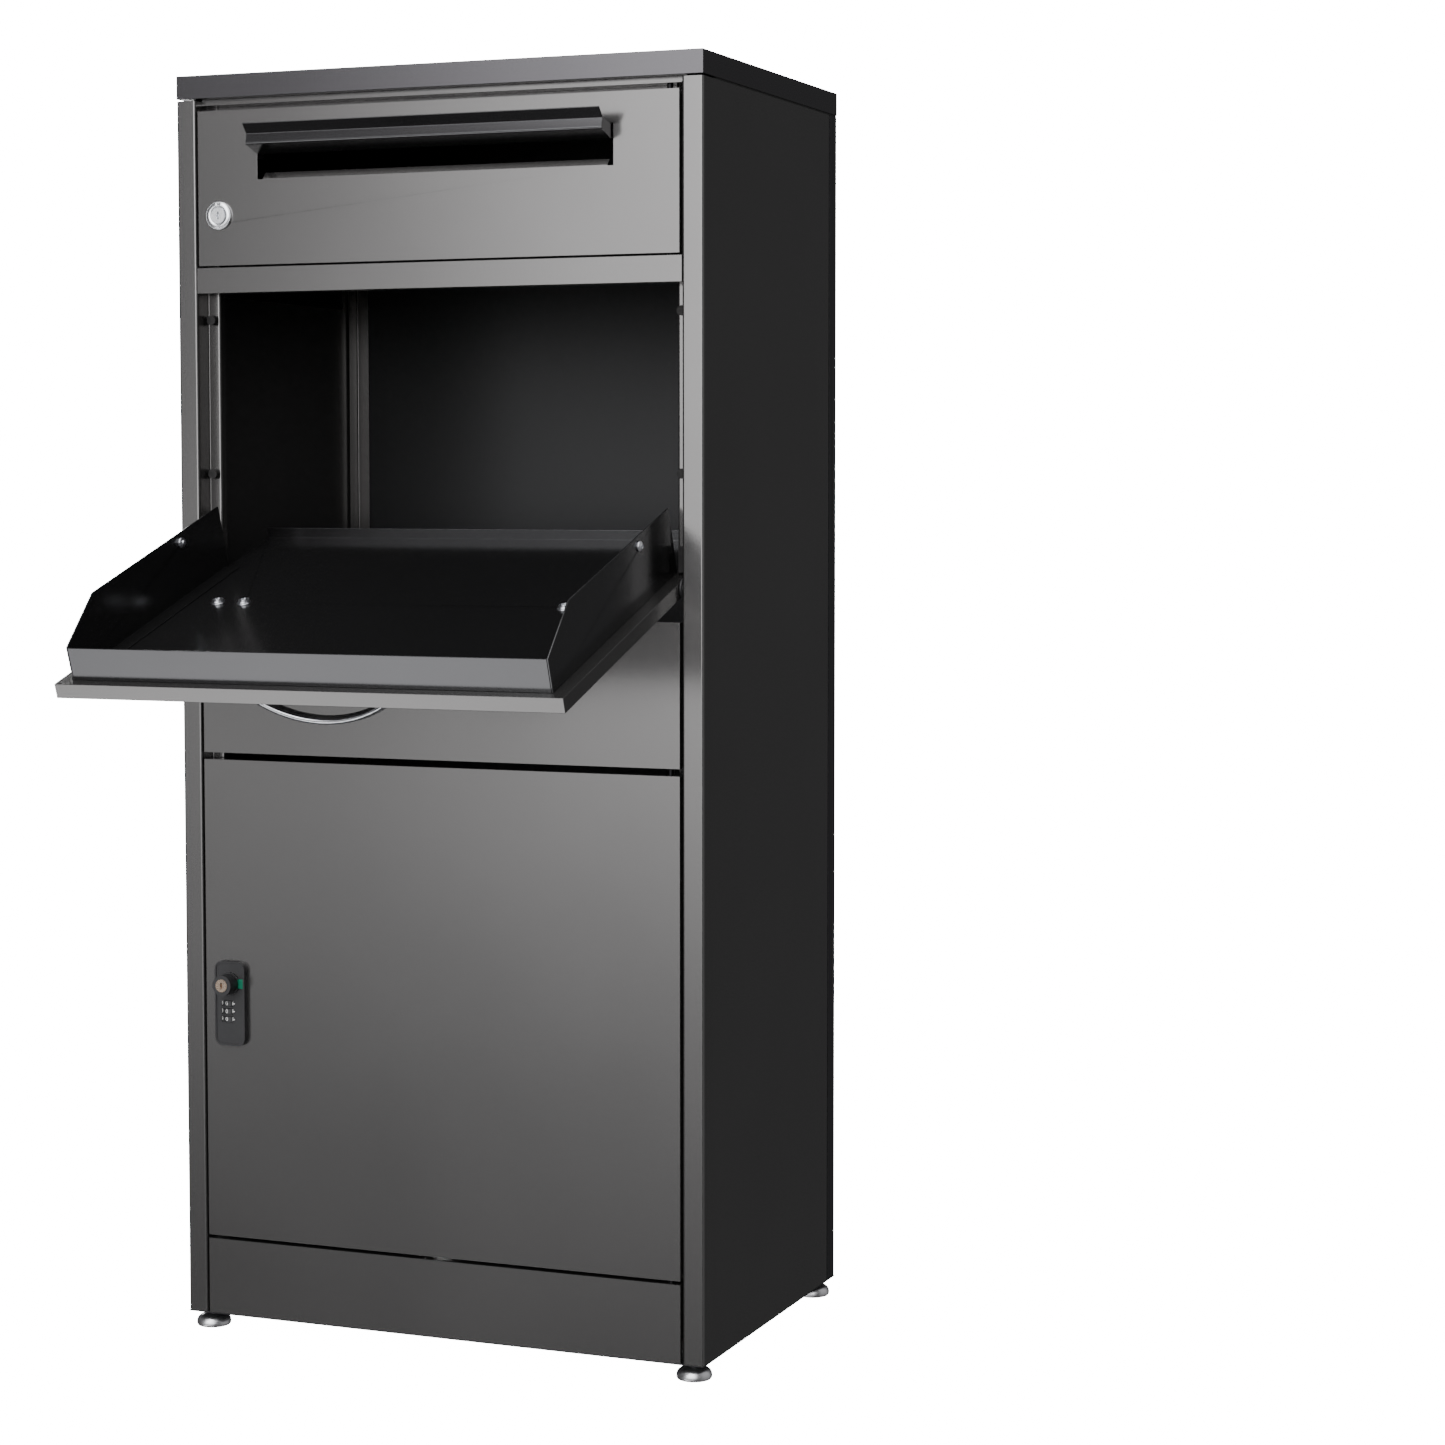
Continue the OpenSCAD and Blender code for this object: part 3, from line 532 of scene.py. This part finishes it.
FRONT_Y = box_of("lower_door_panel")[0].y
for dial in (1, 2, 3):
    dial_digits(dial)
mesh_piece("dial_index_marks", index_marks(), "lower_door", "black_plastic", WHITE)


# ---------------------------------------------------------------- camera, light, floor

CAMERA_AT = Vector((1.1493, -2.4274, 0.7037))
CAMERA_YAW = 21.568
CAMERA_PITCH = 3.648
CAMERA_LENS = 78.19
CAMERA_SHIFT_Y = -0.03
SENSOR = 36


def add_camera():
    data = bpy.data.cameras.new("camera")
    data.lens = CAMERA_LENS
    data.sensor_width = SENSOR
    data.shift_y = CAMERA_SHIFT_Y
    cam = bpy.data.objects.new("camera", data)
    cam.location = CAMERA_AT
    cam.rotation_euler = (math.radians(90 - CAMERA_PITCH), 0, math.radians(CAMERA_YAW))
    bpy.context.scene.collection.objects.link(cam)
    bpy.context.scene.camera = cam


def area_light(name, at, aim, size, power):
    data = bpy.data.lights.new(name, "AREA")
    data.shape = "RECTANGLE"
    data.size, data.size_y = size
    data.energy = power
    lamp = bpy.data.objects.new(name, data)
    lamp.location = at
    lamp.rotation_euler = (Vector(aim) - Vector(at)).to_track_quat("-Z", "Y").to_euler()
    bpy.context.scene.collection.objects.link(lamp)


def add_lights():
    area_light("overhead_softbox", (0.2, -0.5, 3.4), (0, 0, 0.3), (3.2, 3.2), 45)
    area_light("rear_fill", (-1.6, 2.6, 1.6), (0, 0, 0.5), (1.4, 1.4), 90)


def maths(tree, operation, a, b):
    node = tree.nodes.new("ShaderNodeMath")
    node.operation = operation
    for socket, value in zip(node.inputs, (a, b)):
        if isinstance(value, (int, float)):
            socket.default_value = value
        else:
            tree.links.new(value, socket)
    return node.outputs[0]


def fade(tree, value, start, end, low=0.0, high=1.0):
    """A smooth step from low to high between two values of a socket."""
    node = tree.nodes.new("ShaderNodeMapRange")
    node.interpolation_type = "SMOOTHSTEP"
    for key, number in (("From Min", start), ("From Max", end), ("To Min", low), ("To Max", high)):
        node.inputs[key].default_value = number
    tree.links.new(value, node.inputs["Value"])
    return node.outputs["Result"]


# Strengths of the studio light by direction, and of the backdrop that only the camera sees.
# The patches were placed by the main view's mirror directions, to match the photo's tones.
AMBIENT = 0.08
KEY = 5.0
BOUNCE = 2.9
NEAR = 0.85
WALL = 0.45
BACKDROP = 18.0
FLOOR_SHARE = 0.9
FLOOR_HALF = 14.0


def add_world():
    """Dim surroundings with a broad soft light ahead of the front, and its bounce off the ground."""
    world = bpy.data.worlds.new("studio")
    bpy.context.scene.world = world
    world.use_nodes = True
    tree = world.node_tree
    parts = tree.nodes.new("ShaderNodeSeparateXYZ")
    tree.links.new(tree.nodes.new("ShaderNodeTexCoord").outputs["Generated"], parts.inputs[0])
    # turn: radians from the front, negative towards the left; rise: the sine of the elevation
    front = maths(tree, "MULTIPLY", parts.outputs["Y"], -1.0)
    turn = maths(tree, "ARCTAN2", parts.outputs["X"], front)
    rise = parts.outputs["Z"]

    def both(a, b):
        return maths(tree, "MULTIPLY", a, b)

    def turned(*edges):
        return fade(tree, turn, *edges)

    def raised(*edges):
        return fade(tree, rise, *edges)

    key = both(both(turned(-0.51, -0.38), turned(0.15, 0.80, 1, 0)), raised(-0.22, 0.14))
    band = both(raised(-0.26, -0.08), raised(-0.06, 0.06, 1, 0))
    near = both(band, both(turned(-0.80, -0.58), turned(0.1, 0.6, 1, 0)))
    low = both(raised(-0.80, -0.70), raised(-0.52, -0.42, 1, 0))
    left = both(turned(-1.0, -0.7), turned(-0.52, -0.36, 1, 0.35))
    bounce = both(low, both(left, turned(0.1, 0.5, 1, 0)))
    wall = both(both(turned(1.0, 1.5), turned(2.3, 2.65, 1, 0)), raised(-0.75, 0.35, 0.3, 1.0))
    power = both(key, KEY)
    for patch, strength in ((bounce, BOUNCE), (near, NEAR), (wall, WALL)):
        power = maths(tree, "ADD", power, both(patch, strength))
    room = tree.nodes["Background"]
    room.inputs["Color"].default_value = (0.98, 0.98, 1.0, 1)
    tree.links.new(maths(tree, "ADD", power, AMBIENT), room.inputs["Strength"])
    seen = tree.nodes.new("ShaderNodeBackground")
    seen.inputs["Color"].default_value = (1, 1, 1, 1)
    seen.inputs["Strength"].default_value = BACKDROP
    mix = tree.nodes.new("ShaderNodeMixShader")
    tree.links.new(tree.nodes.new("ShaderNodeLightPath").outputs["Is Camera Ray"], mix.inputs[0])
    tree.links.new(room.outputs[0], mix.inputs[1])
    tree.links.new(seen.outputs[0], mix.inputs[2])
    tree.links.new(mix.outputs[0], tree.nodes["World Output"].inputs["Surface"])


def add_floor():
    """A pale floor seen by the camera alone; other rays pass through it to the world's light."""
    s = Shader("floor")
    s.colour(s.ramp(s.noise(1.5, 3), (0.80, 0.80, 0.80), (0.84, 0.84, 0.84)))
    s.roughness(s.spread(s.noise(30, 2), 0.7, 0.85))
    s.set(Emission_Color=(1, 1, 1, 1), Emission_Strength=BACKDROP * FLOOR_SHARE, Specular_IOR_Level=0.0)
    clear = s.add("ShaderNodeBsdfTransparent")
    mix = s.add("ShaderNodeMixShader")
    s.link(s.add("ShaderNodeLightPath").outputs["Is Camera Ray"], mix.inputs[0])
    s.link(clear.outputs[0], mix.inputs[1])
    s.link(s.bsdf.outputs[0], mix.inputs[2])
    s.link(mix.outputs[0], s.tree.nodes["Material Output"].inputs["Surface"])
    mesh = bpy.data.meshes.new("floor")
    z, r = CAD_BOX[0].z, FLOOR_HALF
    mesh.from_pydata([(-r, -r, z), (r, -r, z), (r, r, z), (-r, r, z)], [], [(0, 1, 2, 3)])
    floor = bpy.data.objects.new("floor", mesh)
    floor.data.materials.append(s.mat)
    bpy.context.scene.collection.objects.link(floor)


add_camera()
add_lights()
add_world()
add_floor()
